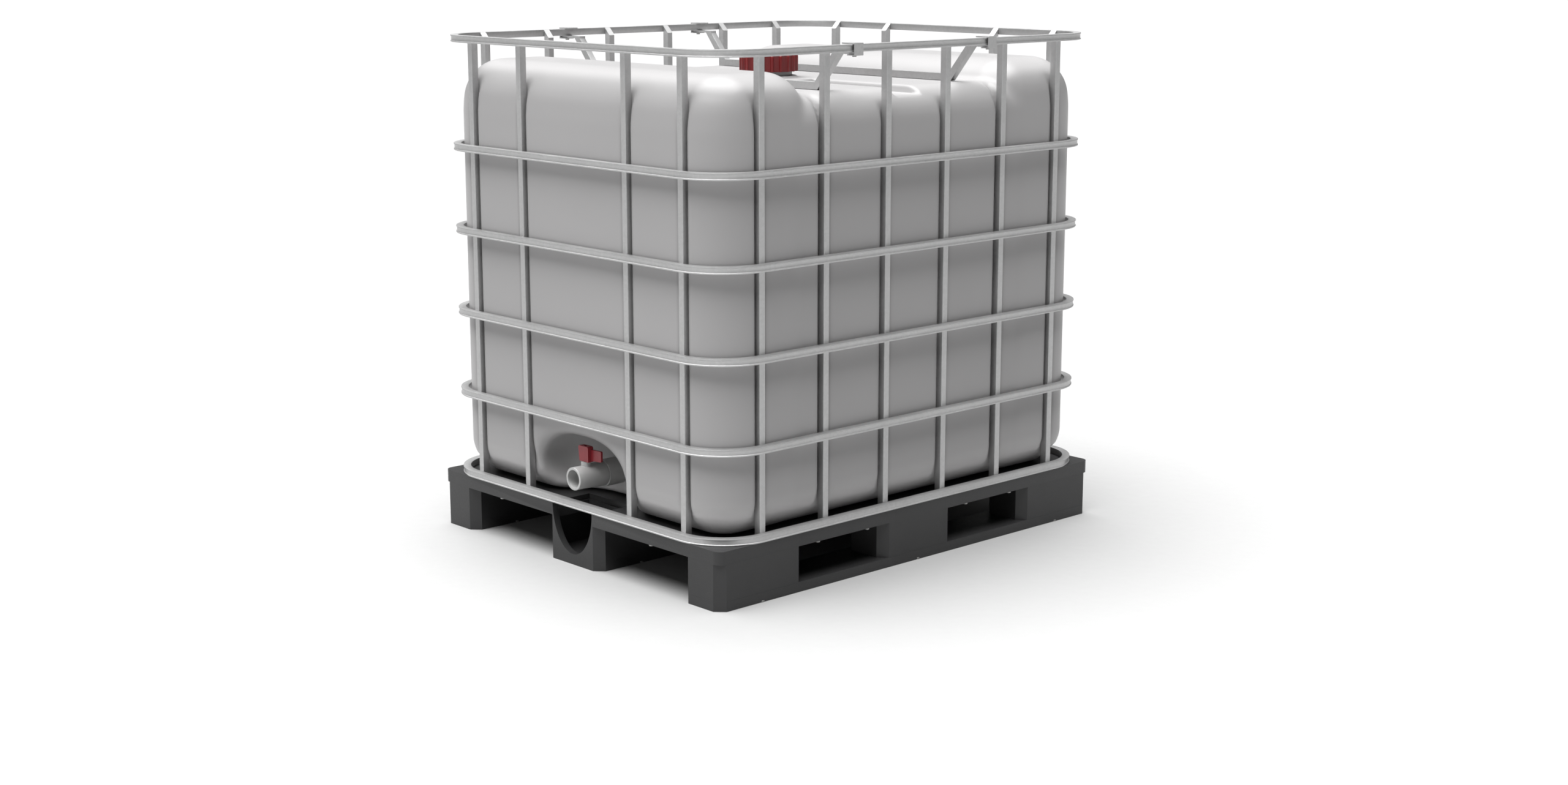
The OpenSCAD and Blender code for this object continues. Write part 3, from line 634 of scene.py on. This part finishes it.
def rail_outline():
    """Section of a rail as (depth from the outer face, height): a shallow channel with two lips."""
    h = RAIL_H / 2
    outline = [(0, -h), (RAIL_D, -h), (RAIL_D, h), (0, h), (0, h - LIP), (SINK, h - LIP - WEB_SLOPE),
               (SINK, -h + LIP + WEB_SLOPE), (0, -h + LIP)]
    edges = [OUTER_EDGE, BACK_EDGE, BACK_EDGE, OUTER_EDGE] + [LIP_EDGE] * 4
    return round_corners(outline, edges, steps=2)


def ring_path(steps=20):
    """Points and outward directions round the cage's outer face."""
    path = []
    for sx, sy, start in ((1, 1, 0), (-1, 1, 90), (-1, -1, 180), (1, -1, 270)):
        centre = (sx * (HALF_W - CAGE_R), sy * (HALF_L - CAGE_R))
        for a in np.radians(np.linspace(start, start + 90, steps)):
            out = np.array([math.cos(a), math.sin(a)])
            path.append((np.array(centre) + CAGE_R * out, out))
    return path


def rail(node):
    """A rail swept round the cage at its node's height."""
    outline = rail_outline()
    z = (low(node)[2] + high(node)[2]) / 2
    rings = [[(*(at - out * d), z + h) for d, h in outline] for at, out in ring_path()]
    verts = np.array(rings).reshape(-1, 3)
    faces = tube_faces(len(rings), len(outline), close_path=True)
    piece(node + "_look", verts, faces, "galvanised_tube", replaces=(node,))


for rail_node in RAILS:
    rail(rail_node)


def upright(node):
    """A tube with rounded edges, its inner top corner cut off and closed."""
    a, b = low(node), high(node)
    centre = (a + b) / 2
    half = TUBE_W / 2
    outline = round_corners([(-half, 0), (half, 0), (half, TUBE_D), (-half, TUBE_D)], TUBE_EDGE, steps=3)
    levels = [[(w, d, a[2]) for w, d in outline],
              [(w, d, b[2] - TUBE_D - SLANT_UNDER) for w, d in outline],
              [(w, d, b[2] - d - TUBE_GAP) for w, d in outline]]
    across, depth, z = np.array(levels).reshape(-1, 3).T
    if node.startswith(("upright_left", "upright_right")):
        sign = np.sign(centre[0])
        verts = np.stack([sign * (HALF_W - RAIL_D - depth), centre[1] + sign * across, z], 1)
    else:
        sign = np.sign(centre[1])
        verts = np.stack([centre[0] - sign * across, sign * (HALF_L - RAIL_D - depth), z], 1)
    faces = tube_faces(len(levels), len(outline), close_path=False)
    piece(node + "_look", verts, faces, "galvanised_tube", replaces=(node,), sharp=SHARP_UPRIGHT)


for node_name in frame["nodes"]:
    if node_name.startswith("upright_"):
        upright(node_name)

for bar in ("cross_bar_front", "cross_bar_rear"):
    softened(bar, width=1.6)
softened("bar_clips", width=0.8)


# ---------- pallet ----------

softened("pallet_deck", width=2.2, segments=3)
for node_name in list(frame["nodes"]):
    if node_name.startswith("foot_"):
        softened(node_name, width=3.0, segments=3)
    elif node_name.startswith("runner_"):
        softened(node_name, width=2.5)


# ---------- lid ----------

# Ribs round the skirt: their number, mesh steps in each, how deep the gaps are, and, as shares of half
# a rib's pitch, where a gap's flank begins and how wide it is
LID_RIBS = 20
RIB_STEPS = 16
RIB_DEPTH = 5.2
FLANK_FROM = 0.56
FLANK = 0.24
# The cap's chamfered foot, the ring sunk into its top, its hollow and the thickness over it
FOOT_EDGE = 1.2
DISC_R = 24.0
DISC_SUNK = 0.2
RING_SUNK = 1.4
LID_HOLLOW_R = 57.0
LID_THICK = 5.0


def lid():
    """A screw cap: a ribbed skirt, a rounded rim and a slightly raised top."""
    top = LID_HIGH
    # the outline up the skirt, over the top and back inside: radius, height and share of the gaps' depth
    rows = [(LID_R - FOOT_EDGE, LID_LOW, 1.0), (LID_R, LID_LOW + FOOT_EDGE, 1.0), (LID_R, top - 6.0, 1.0),
            (LID_R - 0.8, top - 3.0, 0.8), (LID_R - 2.6, top - 0.9, 0.35), (LID_R - 5.0, top, 0.0),
            (LID_R - 14.0, top, 0.0), (LID_R - 15.5, top - RING_SUNK, 0.0),
            (LID_R - 22.0, top - RING_SUNK, 0.0), (LID_R - 23.5, top - DISC_SUNK, 0.0),
            (DISC_R, top - DISC_SUNK, 0.0), (0.0, top - DISC_SUNK, 0.0), (0.0, top - LID_THICK, 0.0),
            (LID_HOLLOW_R, top - LID_THICK, 0.0), (LID_HOLLOW_R, LID_LOW, 0.0)]
    steps = LID_RIBS * RIB_STEPS
    verts = []
    for k in range(steps):
        a = 2 * math.pi * k / steps
        edge = abs((k % RIB_STEPS) / RIB_STEPS - 0.5) * 2
        rise = min(max((edge - FLANK_FROM) / FLANK, 0), 1)
        dip = 1 - rise * rise * (3 - 2 * rise)
        for r, z, share in rows:
            rr = r - RIB_DEPTH * share * dip
            verts.append((rr * math.cos(a), rr * math.sin(a), z))
    faces = tube_faces(steps, len(rows), close_path=True)
    piece("lid_look", verts, faces, "lid_plastic", body="lid", replaces=("lid",), sharp=SHARP_LID)


lid()
softened("lid_gasket", width=0.4, body="lid_seal")

# ---------- valve and screws ----------

for node_name in ("union_nut", "valve_body", "outlet_gasket", "stem_bush", "stem_o_rings"):
    softened(node_name, width=0.7)
for node_name in ("valve_stem", "valve_disc", "disc_seal", "handle_screw"):
    softened(node_name, width=0.3, body="spindle")
softened("valve_handle", width=2.2, segments=4, body="spindle")
for node_name in ("pallet_screws", "cage_screws", "clip_screws"):
    softened(node_name, width=0.4)

# ---------- floor, light and camera ----------

# Half the floor's side, in metres, wide enough to fill every view, its tone and the room's own light
FLOOR = 120.0
FLOOR_TONE = 0.315
AMBIENT = 0.15

floor_mesh = bpy.data.meshes.new("floor")
floor_mesh.from_pydata([(-FLOOR, -FLOOR, 0), (FLOOR, -FLOOR, 0), (FLOOR, FLOOR, 0), (-FLOOR, FLOOR, 0)], [],
                       [(0, 1, 2, 3)])
floor = bpy.data.objects.new("floor", floor_mesh)
bpy.context.scene.collection.objects.link(floor)
floor_mesh.materials.append(moulded("floor_paint", grey(FLOOR_TONE), spread=0.01, rough=0.7,
                                    rough_spread=0.05, grain=30.0, bump=0.02, patch=0.5))

world = bpy.data.worlds.new("studio")
bpy.context.scene.world = world
world.use_nodes = True
world.node_tree.nodes["Background"].inputs["Color"].default_value = (1.0, 1.0, 1.0, 1)
world.node_tree.nodes["Background"].inputs["Strength"].default_value = AMBIENT


def sun(name, azimuth, elevation, strength, angle):
    """A soft far light; azimuth 0 comes from -Y and 90 from +X."""
    light = bpy.data.lights.new(name, "SUN")
    light.energy = strength
    light.angle = math.radians(angle)
    obj = bpy.data.objects.new(name, light)
    bpy.context.scene.collection.objects.link(obj)
    a, e = math.radians(azimuth), math.radians(elevation)
    towards = Vector((math.sin(a) * math.cos(e), -math.cos(a) * math.cos(e), math.sin(e)))
    obj.rotation_euler = towards.to_track_quat("Z", "Y").to_euler()


sun("key", azimuth=-36, elevation=81.5, strength=10.3, angle=72)
sun("low", azimuth=20, elevation=4, strength=0.35, angle=60)

# The photograph's viewing angle: lens and sensor in millimetres, place in metres, turn and tilt in radians
LENS, SENSOR = 50.28, 36.0
CAMERA_AT = (3.7734, -3.4649, 1.3922)
YAW, PITCH = -0.8211, -0.2087

camera_data = bpy.data.cameras.new("camera")
camera_data.lens = LENS
camera_data.sensor_width = SENSOR
camera = bpy.data.objects.new("camera", camera_data)
bpy.context.scene.collection.objects.link(camera)
camera.location = CAMERA_AT
forward = Vector((math.sin(YAW) * math.cos(PITCH), math.cos(YAW) * math.cos(PITCH), math.sin(PITCH)))
camera.rotation_euler = forward.to_track_quat("-Z", "Y").to_euler()
bpy.context.scene.camera = camera
bpy.context.scene.view_settings.view_transform = "Standard"
